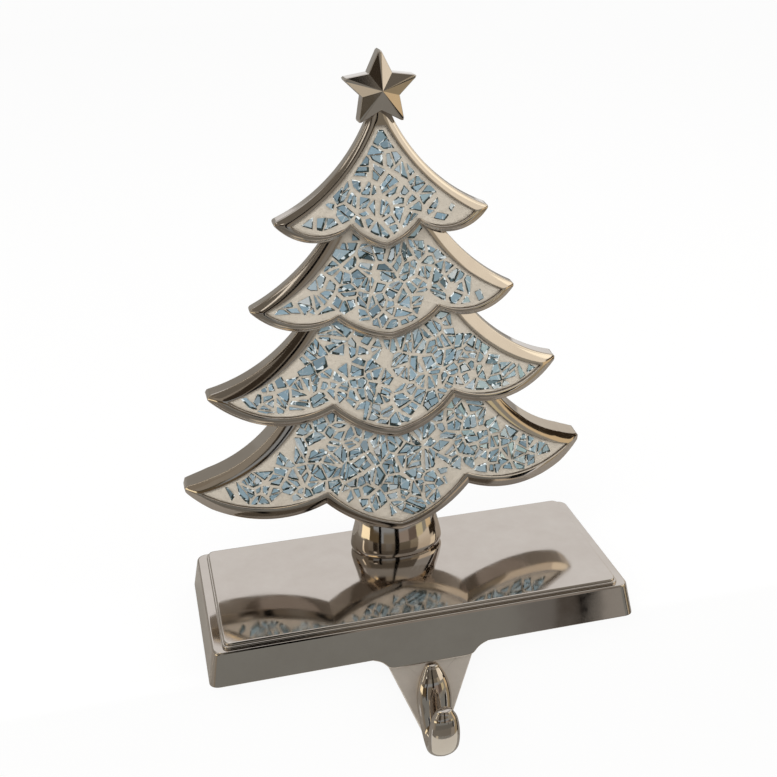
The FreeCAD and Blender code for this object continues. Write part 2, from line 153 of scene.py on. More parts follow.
# Each has the azimuths and elevations that it spans in degrees, its colour and its strength. Azimuth 0 is in
# front and 90 on the right.
boards = {
    "board_back_left_grey": ((-186, -128), (-20, 22), "#adaba5", 1.0),
    "board_back_left_dim": ((-160, -128), (22, 60), "#a5a29b", 1.0),
    "board_left_grey": ((-128, -66), (-31, 49), "#a9a49b", 1.0),
    "board_left_brown": ((-66, -52), (-31, 49), "#9b9182", 1.0),
    "board_ceiling_brown": ((-52, 38), (24, 49), "#7d776d", 1.0),
    "board_ceiling_pale": ((-80, 80), (49, 62), "#bdbcb8", 1.0),
    "board_high_grey": ((-52, -40), (5, 24), "#a49c8f", 1.0),
    "board_high_umber": ((-40, -30), (5, 24), "#40382e", 1.0),
    "board_high_grey_2": ((-30, -15), (5, 24), "#8f877b", 1.0),
    "board_high_grey_3": ((-15, -5), (5, 24), "#9a968e", 1.0),
    "board_high_taupe": ((-5, 24), (5, 24), "#8f8778", 1.0),
    "board_high_cream": ((24, 38), (5, 24), "#bcb19c", 1.0),
    "board_right_cream": ((38, 78), (6, 34), "#fdf3e0", 1.3),
    "board_right_dim": ((38, 78), (34, 56), "#d3d6d6", 1.0),
    "board_front_umber": ((-56, -40), (-14, 5), "#5f5748", 1.0),
    "board_front_cool": ((-40, 26), (-12, 5), "#a4a8aa", 1.0),
    "board_front_grey": ((26, 60), (-14, 6), "#aaa69a", 1.0),
    "board_right_straw": ((60, 78), (-14, 6), "#fbe0b4", 1.0),
    "board_low_grey": ((-56, 44), (-21, -12), "#939490", 1.0),
    "board_low_black": ((44, 53), (-31, -14), "#0b0b0b", 1.0),
    "board_low_taupe": ((-60, 44), (-31, -21), "#7d7a73", 1.0),
    "board_table_taupe": ((-80, 34), (-42, -31), "#8a857c", 1.0),
    "board_table_grey": ((34, 56), (-42, -31), "#a9a297", 1.0),
    "board_table_mid": ((-80, 90), (-62, -42), "#9b9993", 1.0),
    "board_table_cream": ((-80, 90), (-86, -62), "#e0d8c8", 1.0),
    "board_right_gold": ((56, 78), (-45, -14), "#b5a689", 1.0),
    "board_right_black": ((78, 90), (-45, 56), "#15120d", 1.0),
    "board_right_pale": ((90, 140), (-45, 30), "#e9e2d6", 1.0),
    "slat_front_straw": ((-80, -50), (-11, -2), "#ffeec8", 1.8),
    "slat_front_umber": ((-50, -28), (-11, -2), "#6b5c45", 1.0),
    "slat_left_black": ((-28, -23), (-12, 36), "#050505", 1.0),
    "slat_left_glint": ((-70, -65), (8, 42), "#fff6e0", 2.0),
    "slat_left_white": ((-39, -33), (27, 33), "#fff8ea", 1.5),
    "slat_front_taupe": ((-19, 0), (-11, -2), "#8a8172", 1.0),
    "slat_middle_black": ((0, 7), (-12, 76), "#050403", 1.0),
    "slat_front_taupe_2": ((7, 22), (-11, -2), "#aa9c90", 1.0),
    "slat_front_umber_2": ((22, 36), (-11, -2), "#7a6c62", 1.0),
    "slat_front_straw_2": ((36, 50), (-11, -2), "#e9dcb4", 1.0),
    "slat_right_umber": ((66, 112), (3, 13), "#3a3024", 1.0),
    "slat_right_white": ((68, 86), (17, 34), "#fff6e0", 1.9),
    "slat_wall_grey": ((18.2, 20.6), (-21, -14), "#82807d", 1.0),
    "slat_wall_umber": ((20.6, 22), (-21, -14), "#5d5751", 1.0),
    "slat_wall_black": ((22, 23.1), (-21, -14), "#0b0a09", 1.0),
    "slat_wall_pale": ((23.1, 26), (-21, -14), "#aeaaa4", 1.0),
    "slat_star_cream": ((-44, -28), (-50, -40), "#e6dbc6", 1.0),
    "card_under_hook": ((-58, 58), (-86, -50), "#f4f1e6", 1.0),
    "slat_top_straw": ((-80, -44), (62, 76), "#ffe6b4", 2.4),
    "slat_top_umber": ((-44, -19), (62, 76), "#3a2c1c", 1.0),
    "slat_top_taupe": ((-19, 0), (62, 76), "#b5ad9e", 1.0),
    "slat_top_taupe_2": ((7, 40), (62, 76), "#d0c7b6", 1.2),
}
for name, (azimuths, elevations, tone, power) in boards.items():
    a = np.radians(np.linspace(*azimuths, 13))[None, :]
    e = np.radians(np.linspace(*elevations, 5))[:, None]
    way = np.stack(np.broadcast_arrays(np.sin(a) * np.cos(e), -np.cos(a) * np.cos(e), np.sin(e)), -1)
    board = sheet_mesh(name, way * SPHERE_RADIUS[name.split("_")[0]] + SPHERE_MIDDLE)
    board.visible_camera = board.visible_diffuse = board.visible_shadow = False
    felt = bpy.data.materials.new(name)
    felt.use_nodes = True
    felt.node_tree.nodes.remove(felt.node_tree.nodes["Principled BSDF"])
    light = add(felt.node_tree, "ShaderNodeEmission", {"Color": colour(tone), "Strength": power})
    felt.node_tree.links.new(light.outputs[0], felt.node_tree.nodes["Material Output"].inputs["Surface"])
    board.data.materials.append(felt)


# Base casting: a heavy zinc block with flared walls, two low steps round its plate, and an apron lip, a
# tongue and a hook cast in one with it. It is polished and nickel plated as one piece.
MM = 0.001
FOOT_Y, FOOT_Z = -32.5, 0.3     # the line along which the front wall starts
FLARE, WALL = 2.1, 12.2         # the wall leans in by the flare over its height
SCREW_Y = 16.2                  # axis of the fixing screw


def skin(name, stacks):
    """Mesh of closed shells, each an array (rings, points, 3) in millimetres: quads join the rings, and a
    fan to its middle closes the first and the last one. A shell with a negative volume is turned."""
    verts, faces, start = [], [], 0
    for rings in stacks:
        k, n = rings.shape[:2]
        index = start + np.arange(k * n).reshape(k, n)
        after = np.roll(index, -1, axis=1)
        quads = np.stack([index[:-1], after[:-1], after[1:], index[1:]], -1).reshape(-1, 4)
        first, last = np.full(n, start + k * n), np.full(n, start + k * n + 1)
        fans = np.concatenate([np.stack([after[0], index[0], first], -1),
                               np.stack([index[-1], after[-1], last], -1)])
        points = np.concatenate([rings.reshape(-1, 3), rings[0].mean(0)[None], rings[-1].mean(0)[None]])
        a, b, c, d = (points[quads[:, i] - start] for i in range(4))
        e, f, g = (points[fans[:, i] - start] for i in range(3))
        volume = np.sum(a * np.cross(b, c)) + np.sum(a * np.cross(c, d)) + np.sum(e * np.cross(f, g))
        if volume < 0:
            quads, fans = quads[:, ::-1], fans[:, ::-1]
        verts += points.tolist()
        faces += quads.tolist() + fans.tolist()
        start += k * n + 2
    mesh = bpy.data.meshes.new(name)
    mesh.from_pydata((np.array(verts) * MM).tolist(), [], faces)
    mesh.shade_smooth()
    piece = bpy.data.objects.new(name, mesh)
    bpy.context.scene.collection.objects.link(piece)
    return piece


def rounded(corners, radii, steps=5):
    """Line through corner points of any dimension. Each inner corner becomes a parabola between its tangent
    points, which lie r / tan(half its angle) away, and one more point just outside each of them keeps the
    flats flat under smooth shading."""
    corners = np.asarray(corners, float)
    line = [corners[:1]]
    for before, corner, after, r in zip(corners, corners[1:], corners[2:], radii):
        a, b = before - corner, after - corner
        a, b = a / np.linalg.norm(a), b / np.linalg.norm(b)
        reach = r * np.sqrt((1 + a @ b) / max(1 - a @ b, 1e-9))
        u = np.linspace(0, 1, steps)[:, None]
        arc = (1 - u) ** 2 * (corner + a * reach) + 2 * u * (1 - u) * corner + u ** 2 * (corner + b * reach)
        ease = 0.2 * r
        line += [(corner + a * (reach + ease))[None], arc, (corner + b * (reach + ease))[None]]
    return np.concatenate(line + [corners[-1:]])


def block_rings(profile):
    """Rounded rectangles, one per row (half width, half depth, middle y, corner radius, z): each point is a
    corner centre plus the radius times the direction of its turn, and a spare point lies past both ends of
    each arc, on the flat."""
    count, spare = 9, 0.4
    turn = np.concatenate([[0], np.linspace(0, 90, count), [90]]) + 90 * np.arange(4)[:, None]
    turn = np.radians(turn).ravel()
    slide = np.tile(np.concatenate([[-spare], np.zeros(count), [spare]]), 4)
    quadrant = np.radians(45 + 90 * np.repeat(np.arange(4), count + 2))
    hx, hy, cy, r, z = (profile[:, i:i + 1] for i in range(5))
    x = np.sign(np.cos(quadrant)) * (hx - r) + r * np.cos(turn) - slide * np.sin(turn)
    y = cy + np.sign(np.sin(quadrant)) * (hy - r) + r * np.sin(turn) + slide * np.cos(turn)
    return np.stack(np.broadcast_arrays(x, y, z), -1)


block_profile = rounded(
    [(62.15, 15.65, -8.5, 3.15, 2.4),     # roof of the pocket for the pad
     (62.15, 15.65, -8.5, 3.15, 0.3),     # mouth of the pocket
     (74.6, 32.1, 0, 3, 0.3),             # edge of the underside
     (74.94, 32.44, 0, 3, 0.65),          # foot of the flared wall
     (72.9, 30.4, 0, 3, 12.5),            # top of the flared wall
     (69.5, 29.3, 0, 2.2, 12.5),          # lower step
     (69.5, 29.3, 0, 2.2, 13.5),
     (68.9, 28.75, 0, 2.2, 13.5),         # upper step
     (68.9, 28.75, 0, 2.2, 14.5),
     (60, 20, 0, 2.2, 14.5)],             # plate
    radii=[0.1, 0.15, 0.15, 1.0, 0.08, 0.55, 0.05, 0.7])


def plate_rings(line, thickness, r):
    """Flat plate round a closed line (points, 2): the line moves inwards along its own normal by r(1 - cos)
    while the depth runs through r(1 - sin), which rounds both edges. Result as (across, depth, up)."""
    along = np.roll(line, -1, 0) - np.roll(line, 1, 0)
    along /= np.linalg.norm(along, axis=1)[:, None]
    inward = np.stack([-along[:, 1], along[:, 0]], -1)
    if np.sum(line[:, 0] * np.roll(line[:, 1], -1) - line[:, 1] * np.roll(line[:, 0], -1)) < 0:
        inward = -inward
    t = np.linspace(0, np.pi / 2, 6)
    inset = np.concatenate([[1.5 * r, 1.15 * r], r * (1 - np.sin(t)), [0, 0],
                            r * (1 - np.cos(t)), [1.15 * r, 1.5 * r]])
    depth = np.concatenate([[0, 0], r * (1 - np.cos(t)), [1.2 * r, thickness - 1.2 * r],
                            thickness - r + r * np.sin(t), [thickness, thickness]])
    flat = line[None] + inset[:, None, None] * inward[None]
    return np.stack([flat[..., 0], np.broadcast_to(depth[:, None], flat.shape[:2]), flat[..., 1]], -1)


def lean(points):
    """Puts a plate drawn upright at y = 0 onto the slope of the front wall: turned about the foot line."""
    angle = np.arctan2(FLARE, WALL)
    y, z = points[..., 1], points[..., 2]
    return np.stack([points[..., 0], y * np.cos(angle) + z * np.sin(angle) + FOOT_Y,
                     z * np.cos(angle) - y * np.sin(angle) + FOOT_Z], -1)


def spread(corners, step):
    """Closed line through corner points, with a point about every step."""
    corners = np.asarray(corners, float)
    runs = np.roll(corners, -1, 0) - corners
    counts = np.maximum(1, np.round(np.linalg.norm(runs, axis=1) / step).astype(int))
    return np.concatenate([c + r * (np.arange(n) / n)[:, None] for c, r, n in zip(corners, runs, counts)])


# The tongue narrows from its half width at the foot line by a steady taper to a round tip. Its top edge, at
# 18.1 mm, is hidden in the wall, and it is set 1.3 mm back from the lip.
TONGUE_HALF, TAPER, TIP_RADIUS = 16.6, 0.385, 2.4
slant = np.arctan(TAPER)
tip_z = -TONGUE_HALF / TAPER + TIP_RADIUS / np.sin(slant)
turn = np.linspace(-slant, -np.pi + slant, 15)
tip = np.stack([TIP_RADIUS * np.cos(turn), tip_z + TIP_RADIUS * np.sin(turn)], -1)
tongue_line = spread(np.concatenate([[(-18.1, 4.0), (18.1, 4.0)], tip]), step=1.0)
tongue = plate_rings(tongue_line, thickness=4.2, r=0.5) + np.array([0, 1.3, 0])

# The lip's sides are parabolas from its shoulders in to its lower corners. Five rounds of averaging with
# the neighbours (1, 2, 1) soften the line, and the lip is tipped by 4 in 1000 about z 2, so that its face
# crosses the wall there and doesn't lie in it.
shoulder, bow, corner = np.array([22, 0.2]), np.array([16.4, -0.2]), np.array([15, -4.2])
u = np.linspace(0, 1, 12)[:, None]
side = (1 - u) ** 2 * shoulder + 2 * u * (1 - u) * bow + u ** 2 * corner
lip_line = spread(np.concatenate([[(-22, 6.5), (22, 6.5)], side, side[::-1] * [-1, 1]]), step=1.0)
for _ in range(5):
    lip_line = (np.roll(lip_line, 1, 0) + 2 * lip_line + np.roll(lip_line, -1, 0)) / 4
lip = plate_rings(lip_line, thickness=4.9, r=0.5)
lip[..., 1] += 0.004 * (lip[..., 2] - 2.0)

# The hook is one bar of oval section along a J that closes in a quarter ellipse at both ends. Its rows are
# (distance in front of the foot line, z, direction in degrees, half width, half thickness).
hook_rows = np.array([(0.1, -5.6, -75, 2.4, 1.5), (1.4, -10.0, -98, 4.8, 2.7),
                      (2.7, -16.0, -100, 6.1, 3.3), (4.3, -23.0, -106, 5.9, 3.5),
                      (6.8, -28.6, -132, 5.4, 3.4), (10.9, -30.9, -182, 5.2, 3.3),
                      (14.2, -28.0, -232, 5.4, 3.4), (15.35, -22.0, -264, 5.4, 3.3),
                      (15.45, -16.2, -270, 4.6, 2.9), (15.25, -12.8, -272, 2.9, 1.8)])


def through(rows, count):
    """Smooth rows between the given ones: each stretch is the cubic whose slope at a row is half the step
    between its neighbours, taken at evenly spaced parameters."""
    p = np.concatenate([2 * rows[:1] - rows[1:2], rows, 2 * rows[-1:] - rows[-2:-1]])
    t = np.linspace(0, len(rows) - 1 - 1e-9, count)
    i, f = t.astype(int), (t % 1)[:, None]
    a, b, c, d = (p[i + j] for j in range(4))
    square, cube = 2 * a - 5 * b + 4 * c - d, 3 * b - a - 3 * c + d
    return 0.5 * (2 * b + (c - a) * f + square * f ** 2 + cube * f ** 3)


bar = through(hook_rows, count=90)
theta = np.radians(bar[:, 2])
turn = np.linspace(0, 2 * np.pi, 48, endpoint=False)
wide, thick = bar[:, 3:4] * np.cos(turn), bar[:, 4:5] * np.sin(turn)
hook = np.stack([wide, FOOT_Y - bar[:, :1] - thick * np.sin(theta)[:, None],
                 bar[:, 1:2] + thick * np.cos(theta)[:, None]], -1)
cap = np.radians(np.linspace(8, 82, 7))[:, None, None]
ends = []
for ring, axis, depth in ((hook[0], theta[0] + np.pi, 0.8), (hook[-1], theta[-1], 0.9)):
    middle = ring.mean(0)
    way = np.array([0, np.cos(axis), np.sin(axis)])
    ends.append(middle + (ring - middle)[None] * np.cos(cap) + way * depth * np.sin(cap))
hook = np.concatenate([ends[0][::-1], hook, ends[1]])

base = skin("base_block_plated", [block_rings(block_profile)])
apron = skin("lip_and_hook_plated", [lean(lip), hook])
tongue = skin("tongue_plated", [lean(tongue)])

# The counterbore for the washer and the hole for the fixing screw are cut from beneath. Its profile is in
# pairs (radius, z).
bore_profile = np.array([(6.9, -2), (7, -1), (7, 5), (2.7, 5), (2.7, 14), (2.6, 14.1)])
bore_r, bore_z = bore_profile[:, :1], bore_profile[:, 1:]
turn = np.linspace(0, 2 * np.pi, 64, endpoint=False)
bored_out = np.broadcast_arrays(bore_r * np.cos(turn), SCREW_Y + bore_r * np.sin(turn), bore_z)
bore = skin("bore", [np.stack(bored_out, -1)])
cut = base.modifiers.new("bore", "BOOLEAN")
cut.object, cut.operation, cut.solver = bore, "DIFFERENCE", "EXACT"
bored = bpy.data.meshes.new_from_object(base.evaluated_get(bpy.context.evaluated_depsgraph_get()))
base.modifiers.clear()
base.data = bored
bpy.data.objects.remove(bore)

# Polished nickel plate over cast zinc: warm pale metal, mirror bright, with the waves of a buffed casting
# 16 mm long, cloudy handling marks 9 mm wide, and buffing lines, which are drawn 0.4 mm apart because the
# real ones are too fine to show.
nickel = bpy.data.materials.new("polished_nickel_plate")
nickel.use_nodes = True
plate = nickel.node_tree
shader = plate.nodes["Principled BSDF"]
where = add(plate, "ShaderNodeTexCoord").outputs["Object"]
cloud = add(plate, "ShaderNodeTexNoise",
            {"Vector": where, "Scale": 1 / 0.009, "Detail": 4.0, "Roughness": 0.6})
tone = add(plate, "ShaderNodeMix", {0: cloud.outputs["Fac"], 6: colour("#b9b0a8"), 7: colour("#c8c1ba")},
           data_type="RGBA")
haze = add(plate, "ShaderNodeMapRange", {"Value": cloud.outputs["Fac"], "From Min": 0.3, "From Max": 0.75,
                                         "To Min": 0.045, "To Max": 0.11})
wave = add(plate, "ShaderNodeTexNoise", {"Vector": where, "Scale": 1 / 0.016, "Detail": 1.0})
waved = add(plate, "ShaderNodeBump", {"Height": wave.outputs["Fac"], "Strength": 0.5, "Distance": 0.00012})
stretched = add(plate, "ShaderNodeMapping", {"Vector": where, "Scale": (1 / 0.012, 1 / 0.0004, 1 / 0.0004)})
lines = add(plate, "ShaderNodeTexNoise", {"Vector": stretched.outputs[0], "Scale": 1.0, "Detail": 2.0})
buffed = add(plate, "ShaderNodeBump", {"Height": lines.outputs["Fac"], "Strength": 0.12, "Distance": 0.00001,
                                       "Normal": waved.outputs[0]})
plate.links.new(tone.outputs[2], shader.inputs["Base Color"])
plate.links.new(haze.outputs[0], shader.inputs["Roughness"])
plate.links.new(buffed.outputs[0], shader.inputs["Normal"])
shader.inputs["Metallic"].default_value = 1.0

# The tongue was left as it came from the tumbler, a satin nickel: the same plate, dulled in soft patches of
# 4 mm with a finer grit in them.
satin = nickel.copy()
satin.name = "satin_nickel_plate"
grit = satin.node_tree
shader = grit.nodes["Principled BSDF"]
where = add(grit, "ShaderNodeTexCoord").outputs["Object"]
grain = add(grit, "ShaderNodeTexNoise",
            {"Vector": where, "Scale": 1 / 0.004, "Detail": 6.0, "Roughness": 0.7})
dull = add(grit, "ShaderNodeMapRange", {"Value": grain.outputs["Fac"], "To Min": 0.3, "To Max": 0.5})
tone = add(grit, "ShaderNodeMix", {0: grain.outputs["Fac"], 6: colour("#d9d0c7"), 7: colour("#efe7df")},
           data_type="RGBA")
shader.inputs["Metallic"].default_value = 0.8
grit.links.new(tone.outputs[2], shader.inputs["Base Color"])
grit.links.new(dull.outputs[0], shader.inputs["Roughness"])
for piece, finish in ((base, nickel), (apron, nickel), (tongue, satin)):
    piece.data.materials.clear()
    piece.data.materials.append(finish)
    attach(piece, "root")
    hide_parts("base_casting")

# Non-slip pad: die-cut black rubber sheet glued into the pocket under the block. It has a dull face with a
# pebbled grain of 1.2 mm from its mould, and paler clouds of bloom about 20 mm wide.
rubber = bpy.data.materials.new("moulded_rubber_sheet")
rubber.use_nodes = True
pad_nodes = rubber.node_tree
where = add(pad_nodes, "ShaderNodeTexCoord").outputs["Object"]
grain = add(pad_nodes, "ShaderNodeTexVoronoi", {"Vector": where, "Scale": 1 / 0.0012})
bloom = add(pad_nodes, "ShaderNodeTexNoise", {"Vector": where, "Scale": 1 / 0.02, "Detail": 3.0})
shade = add(pad_nodes, "ShaderNodeMix",
            {0: bloom.outputs["Fac"], 6: colour("#1d1d1e"), 7: colour("#2f2f30")}, data_type="RGBA")
pebbles = add(pad_nodes, "ShaderNodeBump",
              {"Height": grain.outputs["Distance"], "Strength": 0.5, "Distance": 0.0002})
shader = pad_nodes.nodes["Principled BSDF"]
pad_nodes.links.new(shade.outputs[2], shader.inputs["Base Color"])
pad_nodes.links.new(pebbles.outputs[0], shader.inputs["Normal"])
shader.inputs["Roughness"].default_value = 0.85
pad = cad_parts["non_slip_pad"]
pad.data.materials.clear()
pad.data.materials.append(rubber)


# Tree casting: four bowed tiers cast as one with the trunk and the star, in the same plated zinc. Each tier
# has a rounded rim round a sunken panel, and the whole back is one shallow hollow.

# A tier's face line is y at a height z, and its slope, and middle is the height of its panel's middle. Its
# rim and panel are outlines down the right side in points (x, z): start and middle of the flank, the tip,
# the bottom of the lobe, the cusp, and middle and end of the petal. Top holds the points of the link that
# closes the rim above. The rim's outer edge stands off its outline by the swell, and the flanks widen
# further towards the back by the draft.
TIERS = {
    1: dict(
        line=(17.6, 130.2, 0.15), middle=143.0, top=[(-1.2, 178.0), (1.2, 178.0)], swell=0.5, draft=0.2,
        rim=[(4.0, 170.0), (15.3, 153.5), (37.0, 138.3), (23.3, 131.9), (12.0, 136.0), (6.6, 131.1),
             (0, 128.3)],
        panel=[(1.7, 168.0), (13.6, 151.6), (31.9, 137.5), (23.4, 133.8), (11.9, 137.4), (6.4, 132.7),
               (0, 129.9)]),
    2: dict(
        line=(14.7, 98.8, 0.19), middle=112.0, top=[], swell=0.6, draft=0.1,
        rim=[(17.5, 136.0), (29.3, 121.6), (46.9, 108.9), (30.0, 101.9), (18.2, 105.0), (10.0, 99.7),
             (0, 96.9)],
        panel=[(12.8, 135.5), (24.5, 120.3), (42.1, 108.2), (29.2, 103.9), (17.8, 106.8), (9.7, 101.6),
               (0, 98.8)]),
    3: dict(
        line=(9.1, 64.9, 0.22), middle=82.0, top=[], swell=0.9, draft=0.4,
        rim=[(27.5, 105.0), (42.0, 90.0), (63.7, 78.6), (40.3, 69.4), (22.0, 73.5), (12.1, 66.3),
             (0, 62.5)],
        panel=[(21.5, 106.5), (35.3, 90.0), (57.4, 77.5), (39.0, 71.8), (21.9, 76.0), (11.9, 68.6),
               (0, 64.9)]),
    4: dict(
        line=(5.7, 28.6, 0.15), middle=50.0, top=[(-34.0, 76.0), (34.0, 76.0)], swell=1.3, draft=1.2,
        rim=[(36.5, 72.0), (53.3, 54.6), (76.5, 44.4), (47.0, 34.9), (26.2, 40.1), (14.3, 31.6),
             (0, 26.9)],
        panel=[(30.5, 74.0), (45.6, 56.7), (69.5, 43.3), (46.0, 38.2), (25.8, 43.3), (14.0, 33.9),
               (0, 28.7)]),
}
RECESS = 1.8                # depth of the panel's floor behind the face
CROWN = 0.85                # fall of the crowned rims from their inner to their outer edge
INNER_EDGE = 0.3            # radius between the face and the recess wall
EDGE_WIDTH, EDGE_FALL = 0.5, 0.6    # half axes of the rounding between the rim's crown and its outer wall
LOBE_DRAFT = 1.6            # how much lower the lobes of the lowest tier reach at the back
FRONT_RADIUS, BACK_RADIUS = 198, 215
BACK_Y, BACK_Z, BACK_SLOPE = 16.3, 44, 0.09     # the back's middle line: y at a height z, and its slope
BACK_STRETCH = 1.004        # one over the cosine of that slope
PRESSED_FROM, HALF_WIDTH = 66, 74.95


def arc_points(a, b, c, count):
    """Points on the circle through a, b and c, from a on, without c: centre plus radius at even turns."""
    a, b, c = (np.asarray(p, float) for p in (a, b, c))
    m = 2 * np.stack([b - a, c - a])
    o = np.linalg.solve(m, np.array([b @ b - a @ a, c @ c - a @ a]))
    t0, t1, t2 = (np.arctan2(*(p - o)[::-1]) for p in (a, b, c))
    sweep = (t2 - t0) % (2 * np.pi)
    if (t1 - t0) % (2 * np.pi) > sweep:
        sweep -= 2 * np.pi
    t = t0 + sweep * np.arange(count) / count
    return o + np.linalg.norm(a - o) * np.stack([np.cos(t), np.sin(t)], -1)


def tier_line(points, top, blur):
    """Closed outline of a tier as (x, z): three arcs down the right side, mirrored for the left, and the top
    link. Each point is then averaged with its neighbours (1, 2, 1) blur times, which rounds the tips and
    cusps like those of a casting."""
    start, flank, tip, lobe, cusp, petal, end = points
    down = np.concatenate([arc_points(start, flank, tip, count=70), arc_points(tip, lobe, cusp, count=80),
                           arc_points(cusp, petal, end, count=50), [end]])
    link = np.array([(-start[0], start[1])] + top + [start], float)
    reach = np.linspace(0, len(link) - 1, 14)[1:-1]
    link = np.stack([np.interp(reach, np.arange(len(link)), link[:, i]) for i in (0, 1)], -1)
    line = np.concatenate([down, down[-2::-1] * [-1, 1], link])
    for _ in range(blur):
        line = (np.roll(line, 1, 0) + 2 * line + np.roll(line, -1, 0)) / 4
    return line


def inward_of(line):
    """Unit normals of a closed line, pointing inwards."""
    along = np.roll(line, -1, 0) - np.roll(line, 1, 0)
    along /= np.linalg.norm(along, axis=1)[:, None]
    return np.stack([along[:, 1], -along[:, 0]], -1)


def front_y(tier, x, z, depth):
    """y of the tier's front at (x, z), depth behind its face: a cylinder of the front radius less the depth
    that leans by the face line's slope and is stretched in y by sqrt(1 + slope squared)."""
    y0, z0, slope = TIERS[tier]["line"]
    stretch = np.sqrt(1 + slope * slope)
    return y0 + slope * (z - z0) + stretch * (FRONT_RADIUS - np.sqrt((FRONT_RADIUS - depth) ** 2 - x * x))


def back_y(x, z):
    """y of the hollow back that all tiers share: a leaning cylinder of the back radius."""
    bow = BACK_RADIUS - np.sqrt(BACK_RADIUS ** 2 - x * x)
    return BACK_Y + BACK_SLOPE * (z - BACK_Z) + BACK_STRETCH * bow


def drawn_in(line):
    """A tier's line (points, 2) with what lies more than 66 mm from the middle pressed together evenly, so
    that its tips end just inside the block's half width of 75 mm."""
    x, room = np.abs(line[:, :1]), HALF_WIDTH - PRESSED_FROM
    far = PRESSED_FROM + (x - PRESSED_FROM) * room / max(room, x.max() - PRESSED_FROM)
    return np.concatenate([np.sign(line[:, :1]) * np.where(x > PRESSED_FROM, far, x), line[:, 1:]], 1)


def tier_rings(tier):
    """Rings of one tier from the middle of the panel floor, out to the recess wall, over the rim, down the
    outer wall and in again over the back. Over the rim the face falls by CROWN times the share of the way
    from the inner to the outer edge to the power 1.8."""
    data = TIERS[tier]
    rim, panel = tier_line(data["rim"], data["top"], blur=3), tier_line(data["panel"], [], blur=1)
    rim_in, panel_in = inward_of(rim), inward_of(panel)
    rim = drawn_in(rim - rim_in * data["swell"])
    middle = np.array([0, data["middle"]])
    rings = []
    for share in np.linspace(0.04, 0.97, 14):
        rings.append((middle + (panel - middle) * share, RECESS))
    rings += [(panel, RECESS), (panel, RECESS - 0.3), (panel, 0.5)]
    for t in np.radians([0, 30, 60, 90]):
        rings.append((panel - panel_in * INNER_EDGE * (1 - np.cos(t)), INNER_EDGE * (1 - np.sin(t))))
    inner, outer = panel - panel_in * (INNER_EDGE + 0.05), rim + rim_in * EDGE_WIDTH
    for share in np.linspace(0, 1, 10):
        rings.append((inner + (outer - inner) * share, CROWN * share ** 1.8))
    for t in np.radians([70, 52, 35, 18, 0]):
        rings.append((rim + rim_in * EDGE_WIDTH * (1 - np.cos(t)), CROWN + EDGE_FALL * (1 - np.sin(t))))
    shell = [np.stack([p[:, 0], front_y(tier, p[:, 0], p[:, 1], d), p[:, 1]], -1) for p, d in rings]

    # At the back the line is wider: the lobes of the lowest tier reach lower, by a share that is smoothed
    # along the line, and the flanks of all tiers spread by their draft.
    if tier == 4:
        lower = np.clip(rim_in[:, 1] * 1.6 - 0.3, 0, 1)
        for _ in range(60):
            lower = (np.roll(lower, 1) + 2 * lower + np.roll(lower, -1)) / 4
        rim = rim - np.stack([0 * lower, LOBE_DRAFT * lower], -1)
    flank = np.clip(-rim_in[:, 1:] * 1.5, 0, 1) * np.clip(np.abs(rim[:, :1]) / 20, 0, 1)
    rim = drawn_in(rim - rim_in * flank * data["draft"])

    # Each tier's back lies 0.06 mm behind that of the tier above it, so that no two of them coincide.
    behind = 0.06 * (tier - 1)
    turned = []
    for inset, rise in ((0, 0.5), (0.15, 0.15), (0.5, 0), (0.7, 0)):
        p = rim + rim_in * inset
        turned.append(np.stack([p[:, 0], back_y(p[:, 0], p[:, 1]) - rise + behind, p[:, 1]], -1))
    shell += [shell[-1] + (turned[0] - shell[-1]) * share for share in (0.05, 0.5, 0.95)] + turned
    for share in np.linspace(0.97, 0.04, 14):
        p = middle + (rim + rim_in * 0.7 - middle) * share
        shell.append(np.stack([p[:, 0], back_y(p[:, 0], p[:, 1]) + behind, p[:, 1]], -1))
    return np.array(shell)


# The trunk is an oval bulb on the plate that narrows up into the lowest tier. Its rows are (z, half width,
# half depth, middle y), and the first one is drawn in by 0.15 mm for the worn edge of its foot.
trunk_rows = through(np.array([(14.5, 16.6, 10.2, 15.7), (16.7, 17.2, 10.6, 15.7), (20.5, 16.6, 10.2, 15.7),
                               (26.0, 15.2, 9.0, 15.9), (32.0, 14.0, 7.3, 16.2), (46.0, 12.4, 3.0, 14.0)]),
                     count=60)
trunk_rows[0, 1:3] -= 0.15
trunk_z, half_x, half_y, trunk_y = (trunk_rows[:, i:i + 1] for i in range(4))
turn = np.linspace(0, 2 * np.pi, 96, endpoint=False)
trunk = np.stack(np.broadcast_arrays(half_x * np.cos(turn), trunk_y + half_y * np.sin(turn), trunk_z), -1)

# The star has five blunt points, each with a corner 2.6 degrees to either side, and notches between them.
# Its back and sides are flat and its front rises to a peak in the middle. Its rings are (share of the
# outline, y), from the back on.
STAR_Z = 179.8
turn = np.radians((72 * np.arange(5)[:, None] + np.array([-2.6, 0, 2.6, 36])).ravel())
reach = np.tile([12.1, 12.5, 12.1, 6.6], 5)
star_x, star_z = reach * np.sin(turn), reach * np.cos(turn)
star_rings = ((0.2, 27.2), (0.97, 27.2), (1.0, 26.9), (1.0, 22.4), (0.96, 22.0), (0.02, 19.2))
star = np.array([np.stack([star_x * share, np.full_like(star_x, y), STAR_Z + star_z * share], -1)
                 for share, y in star_rings])

tree = skin("tree_casting_plated", [tier_rings(t) for t in TIERS] + [trunk])
crisp = skin("star_plated", [star])
crisp.data.set_sharp_from_angle(angle=np.radians(12))
soften = crisp.modifiers.new("worn_edges", "BEVEL")
soften.width, soften.segments = 0.35 * MM, 3
soften.limit_method, soften.angle_limit = "ANGLE", np.radians(12)
for piece in (tree, crisp):
    piece.data.materials.append(nickel)
    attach(piece, "root")
    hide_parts("tree_casting")

